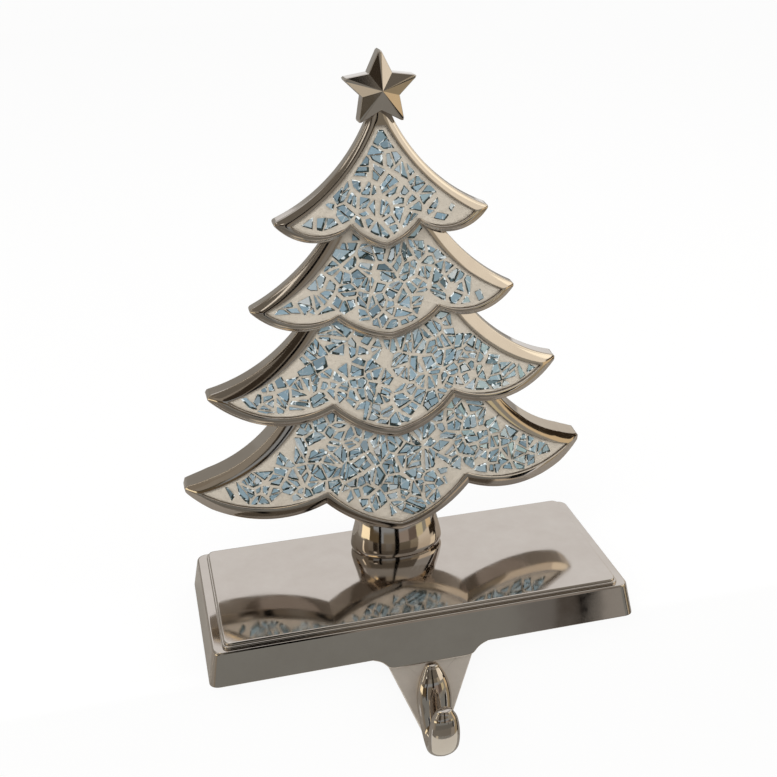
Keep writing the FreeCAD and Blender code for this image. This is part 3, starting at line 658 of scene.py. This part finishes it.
# Grout: off-white sanded grout pressed between the chips. It stands a little below the glass and dips
# towards the recess wall. Its dirt lies in patches of 6 mm, and its sand grains are about 0.4 mm.
GROUT_DEPTH, GROUT_DIP, DIP_WIDTH, GROUT_WAVE = 0.6, 0.35, 0.9, 0.07
grout = bpy.data.materials.new("sanded_cement_grout")
grout.use_nodes = True
mortar = grout.node_tree
where = add(mortar, "ShaderNodeTexCoord").outputs["Object"]
patch = add(mortar, "ShaderNodeTexNoise",
            {"Vector": where, "Scale": 1 / 0.006, "Detail": 5.0, "Roughness": 0.65})
sand = add(mortar, "ShaderNodeTexNoise", {"Vector": where, "Scale": 1 / 0.0004, "Detail": 2.0})
tint = add(mortar, "ShaderNodeMix", {0: patch.outputs["Fac"], 6: colour("#b4aa9a"), 7: colour("#cfc6b8")},
           data_type="RGBA")
speck = add(mortar, "ShaderNodeMapRange", {"Value": sand.outputs["Fac"], "From Min": 0.58, "From Max": 0.72,
                                           "To Min": 0.0, "To Max": 0.5})
tint = add(mortar, "ShaderNodeMix", {0: speck.outputs[0], 6: tint.outputs[2], 7: colour("#9b8d7c")},
           data_type="RGBA")
rough = add(mortar, "ShaderNodeBump", {"Height": sand.outputs["Fac"], "Strength": 0.6, "Distance": 0.0002})
shader = mortar.nodes["Principled BSDF"]
mortar.links.new(tint.outputs[2], shader.inputs["Base Color"])
mortar.links.new(rough.outputs[0], shader.inputs["Normal"])
shader.inputs["Roughness"].default_value = 0.8


def grout_rings(tier):
    """Closed layer between the recess floor and the grout's face, whose depth is GROUT_DEPTH plus slow waves
    plus GROUT_DIP times exp(-(distance from the panel's edge / DIP_WIDTH) squared)."""
    data = TIERS[tier]
    panel = tier_line(data["panel"], [], blur=1)
    edge = panel + inward_of(panel) * 0.02
    middle = np.array([0, data["middle"]])
    shell = []
    for share in np.linspace(0.02, 1.0, 60) ** 0.8:
        p = middle + (edge - middle) * share
        gap = (1 - share) * np.linalg.norm(edge - middle, axis=1)
        waves = GROUT_WAVE * np.sin(p[:, 0] * 1.1 + 2 * np.sin(p[:, 1] * 0.7)) * np.sin(p[:, 1] * 1.3 + tier)
        depth = GROUT_DEPTH + GROUT_DIP * np.exp(-(gap / DIP_WIDTH) ** 2) + waves
        shell.append(np.stack([p[:, 0], front_y(tier, p[:, 0], p[:, 1], depth), p[:, 1]], -1))
    for share in (1.0, 0.5, 0.02):
        p = middle + (edge - middle) * share
        shell.append(np.stack([p[:, 0], front_y(tier, p[:, 0], p[:, 1], RECESS - 0.02), p[:, 1]], -1))
    return np.array(shell)


for tier in TIERS:
    layer = skin("tier_%d_grout_layer" % tier, [grout_rings(tier)])
    layer.data.materials.append(grout)
    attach(layer, "root")
    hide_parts("tier_%d_grout" % tier)

# Mirror chips: silvered glass broken by hand, 1 mm thick, bedded in the grout a little out of level. A few
# have fallen out, and along the edge of each panel the grout stays bare.
BEDDED = 0.95               # depth of a shard's back behind the face of the whole chip
BREAK = 0.5                 # depth of the slanted break between a shard's upright side and its face
GAP = 0.32                  # distance between two shards of one chip
SLIVER = 0.25               # the smallest shard that is kept, in square millimetres
LOST = 0.04                 # share of the shards that have fallen out

# Silvered glass: blue grey, each shard in its own tone, with a film of 3 mm clouds. The tone is partly
# painted reflection: the darkest shards stand in for shards that mirror dark surroundings, and the palest
# are painted highlights. In some shards bright lines round cells of 3.2 mm are painted highlights that stand
# in for glints on fracture lines.
silver = bpy.data.materials.new("silvered_glass_face")
silver.use_nodes = True
face = silver.node_tree
where = add(face, "ShaderNodeTexCoord").outputs["Object"]
# The shard's tone picks its colour from the ramp: painted reflection at the dark end, painted highlight at
# the pale end.
own = add(face, "ShaderNodeAttribute", attribute_name="chip_tone_and_reflection").outputs["Fac"]
ramp = add(face, "ShaderNodeValToRGB", {"Fac": own})
ramp.color_ramp.elements[0].color = colour("#3f4f50")
ramp.color_ramp.elements[1].color = colour("#f2f6f7")
for place, tone in ((0.06, "#9db9c8"), (0.55, "#b0cad8"), (0.85, "#d0dfe7")):
    ramp.color_ramp.elements.new(place).color = colour(tone)
film = add(face, "ShaderNodeTexNoise", {"Vector": where, "Scale": 1 / 0.003, "Detail": 3.0})
haze = add(face, "ShaderNodeMapRange", {"Value": film.outputs["Fac"], "To Min": 0.06, "To Max": 0.22})
# Painted highlight: near-white lines round 3.2 mm cells, in some shards only, stand in for glints on
# fracture lines.
crack_glint_cells = add(face, "ShaderNodeTexVoronoi", {"Vector": where, "Scale": 1 / 0.0032},
            feature="DISTANCE_TO_EDGE")
glint = add(face, "ShaderNodeMapRange", {"Value": crack_glint_cells.outputs["Distance"], "From Min": 0.05,
                                         "From Max": 0.02, "To Min": 0.0, "To Max": 0.8})
painted_glint = add(face, "ShaderNodeMapRange", {"Value": film.outputs["Fac"], "From Min": 0.5, "From Max": 0.6})
painted_glint = add(face, "ShaderNodeMath", {0: glint.outputs[0], 1: painted_glint.outputs[0]}, operation="MULTIPLY")
lit = add(face, "ShaderNodeMix", {0: painted_glint.outputs[0], 6: ramp.outputs[0], 7: colour("#f4f8f8")},
          data_type="RGBA")
shader = face.nodes["Principled BSDF"]
face.links.new(lit.outputs[2], shader.inputs["Base Color"])
face.links.new(haze.outputs[0], shader.inputs["Roughness"])
shader.inputs["Metallic"].default_value = 0.6

# Broken glass: the sides of a chip are dark bottle green with nicks of 1.1 mm in their bump, and the palest
# nicks are painted highlights for glints.
broken = bpy.data.materials.new("broken_glass_edge")
broken.use_nodes = True
fracture = broken.node_tree
where = add(fracture, "ShaderNodeTexCoord").outputs["Object"]
nicks_and_glints = add(fracture, "ShaderNodeTexVoronoi", {"Vector": where, "Scale": 1 / 0.0011})
# Cells high on the ramp are painted near white: painted highlights that stand in for glints on the broken
# edge.
ramp = add(fracture, "ShaderNodeValToRGB", {"Fac": nicks_and_glints.outputs["Color"]})
ramp.color_ramp.elements[0].color = colour("#101614")
ramp.color_ramp.elements[1].color = colour("#e9f1f2")
for place, tone in ((0.45, "#2b3836"), (0.66, "#5d7175"), (0.72, "#e4edef")):
    ramp.color_ramp.elements.new(place).color = colour(tone)
shell_marks = add(fracture, "ShaderNodeBump",
                  {"Height": nicks_and_glints.outputs["Distance"], "Strength": 0.8, "Distance": 0.0003})
shader = fracture.nodes["Principled BSDF"]
fracture.links.new(ramp.outputs[0], shader.inputs["Base Color"])
fracture.links.new(shell_marks.outputs[0], shader.inputs["Normal"])
shader.inputs["Roughness"].default_value = 0.18


def half(polygon, point, normal):
    """The part of a convex polygon (n, 2) on the positive side of the line through point."""
    side = (polygon - point) @ normal
    kept = []
    for p, q, u, v in zip(polygon, np.roll(polygon, -1, 0), side, np.roll(side, -1)):
        if u >= 0:
            kept.append(p)
        if u * v < 0:
            kept.append(p + (q - p) * u / (u - v))
    return np.array(kept)


def broken_up(polygon, rng, limit=10):
    """Breaks a polygon in two along a random line near its middle, GAP apart, until each piece is smaller
    than 0.6 to 1.6 times the limit in square millimetres. Slivers are dropped."""
    after = np.roll(polygon, -1, 0)
    area = np.sum(polygon[:, 0] * after[:, 1] - polygon[:, 1] * after[:, 0]) / 2
    if area < limit * rng.uniform(0.6, 1.6):
        return [polygon] if area > SLIVER else []
    angle = rng.uniform(0, np.pi)
    normal = np.array([np.cos(angle), np.sin(angle)])
    point, clear = polygon.mean(0) + rng.normal(0, 0.25, 2), normal * GAP / 2
    parts = [half(polygon, point + clear, normal), half(polygon, point - clear, -normal)]
    return [piece for part in parts if len(part) > 2 for piece in broken_up(part, rng, limit)]


# The chips of the CAD model are larger and whole. Their flat faces are found again among their triangles,
# and each is broken up into shards.
for tier in TIERS:
    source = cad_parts["tier_%d_mirror_chips" % tier]
    flat = bpy.data.objects.new("flat_chips", source.data.copy())
    bpy.context.scene.collection.objects.link(flat)
    flat.modifiers.new("weld", "WELD").merge_threshold = 0.01 * MM
    flats = flat.modifiers.new("flats", "DECIMATE")
    flats.decimate_type, flats.angle_limit = "DISSOLVE", np.radians(3)
    shapes = bpy.data.meshes.new_from_object(flat.evaluated_get(bpy.context.evaluated_depsgraph_get()))
    bpy.data.objects.remove(flat)

    # Each front face gives the outline of a chip in its own plane, with its first axis level. A shard gets
    # three rings: its back, its broken side, and its tilted face, which is smaller and as a rule moved up to
    # the left, so that the dark break shows widest below and on the right. Shards whose middle is nearer to
    # the panel's edge than the bare margin, which waves from 0.7 to 3.1 mm, are left out.
    rng = np.random.default_rng(70 + tier)
    panel = tier_line(TIERS[tier]["panel"], [], blur=1)
    verts, faces, surface, tones_and_reflections = [], [], [], []
    for front in shapes.polygons:
        if front.normal.y > -0.6:
            continue
        corners = np.array([shapes.vertices[i].co for i in front.vertices]) / MM
        middle, out = corners.mean(0), np.array(front.normal)
        level = np.cross(out, (0, 0, -1))
        level /= np.linalg.norm(level)
        rise = np.cross(level, -out)
        for shape in broken_up((corners - middle) @ np.stack([level, rise], -1), rng):
            n, heart = len(shape), shape.mean(0)
            at = middle + heart @ np.stack([level, rise])
            bare = 1.9 + 0.8 * np.sin(at[0] * 0.31 + 2 * tier) + 0.4 * np.sin(at[2] * 0.9)
            if np.min(np.hypot(panel[:, 0] - at[0], panel[:, 1] - at[2])) < bare or rng.random() < LOST:
                continue
            shape = heart + (shape - heart) * rng.uniform(0.86, 1.14) + rng.normal(0, 0.15, (n, 2))
            size = np.sqrt(np.mean(np.sum((shape - heart) ** 2, 1)))
            way = np.radians(rng.normal(125, 35))
            shift = size * rng.uniform(0.02, 0.34) * np.array([np.cos(way), np.sin(way)])
            small = heart + (shape - heart) * rng.uniform(0.66, 0.86) + shift
            tilt = rng.normal(0, 0.045, 2)
            height = rng.uniform(-0.1, 0.06) + (small - heart) @ tilt
            rings = [np.c_[shape, np.full(n, -BEDDED)], np.c_[shape, height - BREAK], np.c_[small, height]]
            first = len(verts)
            verts += (middle + np.concatenate(rings) @ np.stack([level, rise, out])).tolist()
            ring = first + np.arange(3 * n).reshape(3, n)
            after = np.roll(ring, -1, 1)
            quads = np.stack([ring[:-1], after[:-1], after[1:], ring[1:]], -1).reshape(-1, 4)
            faces += [ring[2].tolist(), ring[0][::-1].tolist()] + quads.tolist()
            surface += [0] + [1] * (2 * n + 1)
            # Each shard's random tone, which the ramp turns into colour with painted reflection at its dark
            # end and a painted highlight at its pale end.
            tones_and_reflections += [rng.beta(1.3, 1.8)] * (3 * n)
    mesh = bpy.data.meshes.new("tier_%d_chips" % tier)
    mesh.from_pydata((np.array(verts) * MM).tolist(), [], faces)
    mesh.materials.append(silver)
    mesh.materials.append(broken)
    mesh.polygons.foreach_set("material_index", surface)
    mesh.attributes.new("chip_tone_and_reflection", "FLOAT", "POINT").data.foreach_set("value", np.array(tones_and_reflections, np.float32))
    chips = bpy.data.objects.new(mesh.name, mesh)
    bpy.context.scene.collection.objects.link(chips)
    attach(chips, "root")
    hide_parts("tier_%d_mirror_chips" % tier)

# Fixing screw and washer: bright zinc plated steel. The pan head with its cross recess sits on the washer in
# the counterbore and the thread runs up into the trunk.
PITCH, CORE, THREAD = 0.8, 2.0, 0.5         # core radius and height of the thread above it
SHANK_Z, TIP_Z, RUN_OUT = 3.79, 27.0, 2.0   # the thread fades over its run-out below the tip
CROSS_DEPTH, CROSS_HALF, CROSS_REACH = 1.3, 0.75, 2.5
turn = np.linspace(0, 2 * np.pi, 48, endpoint=False)
head_r = np.array([0.3, 0.9, 1.5, 2.1, 2.7, 3.3, 3.9, 4.25, 4.45, 4.5, 4.5])[:, None]
head_z = np.array([1.2, 1.2, 1.2, 1.22, 1.25, 1.32, 1.48, 1.75, 2.2, 2.7, 3.8])[:, None]
hx, hy = head_r * np.cos(turn), head_r * np.sin(turn)
arm = np.minimum(np.abs(hx), np.abs(hy))
wall, end = np.clip((CROSS_HALF - arm) / 0.25, 0, 1), np.clip((CROSS_REACH - head_r) / 0.8, 0, 1)
head = np.stack(np.broadcast_arrays(hx, SCREW_Y + hy, head_z + CROSS_DEPTH * wall * end), -1)
z = np.linspace(SHANK_Z, TIP_Z, 420)[:, None]
phase = (z / PITCH - turn / (2 * np.pi)) % 1
fade = np.clip((TIP_Z - z) / RUN_OUT, 0, 1)
shank_r = CORE + THREAD * (1 - np.abs(2 * phase - 1)) * fade
shank_x, shank_y = shank_r * np.cos(turn), SCREW_Y + shank_r * np.sin(turn)
shank = np.stack(np.broadcast_arrays(shank_x, shank_y, z), -1)
screw = skin("fixing_screw_threaded", [head, shank])

# Bright zinc plate: cool grey metal with soft clouds of 2 mm, a little rough, and shallow pits in them.
zinc = bpy.data.materials.new("bright_zinc_plate")
zinc.use_nodes = True
bath = zinc.node_tree
where = add(bath, "ShaderNodeTexCoord").outputs["Object"]
bloom = add(bath, "ShaderNodeTexNoise", {"Vector": where, "Scale": 1 / 0.002, "Detail": 4.0})
tint = add(bath, "ShaderNodeMix", {0: bloom.outputs["Fac"], 6: colour("#a9adb2"), 7: colour("#c9cbca")},
           data_type="RGBA")
haze = add(bath, "ShaderNodeMapRange", {"Value": bloom.outputs["Fac"], "To Min": 0.2, "To Max": 0.45})
pits = add(bath, "ShaderNodeBump", {"Height": bloom.outputs["Fac"], "Strength": 0.3, "Distance": 0.00005})
shader = bath.nodes["Principled BSDF"]
bath.links.new(tint.outputs[2], shader.inputs["Base Color"])
bath.links.new(haze.outputs[0], shader.inputs["Roughness"])
bath.links.new(pits.outputs[0], shader.inputs["Normal"])
shader.inputs["Metallic"].default_value = 1.0
screw.data.materials.append(zinc)
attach(screw, "root")
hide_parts("fixing_screw")
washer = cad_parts["fixing_washer"]
washer.data.materials.clear()
washer.data.materials.append(zinc)
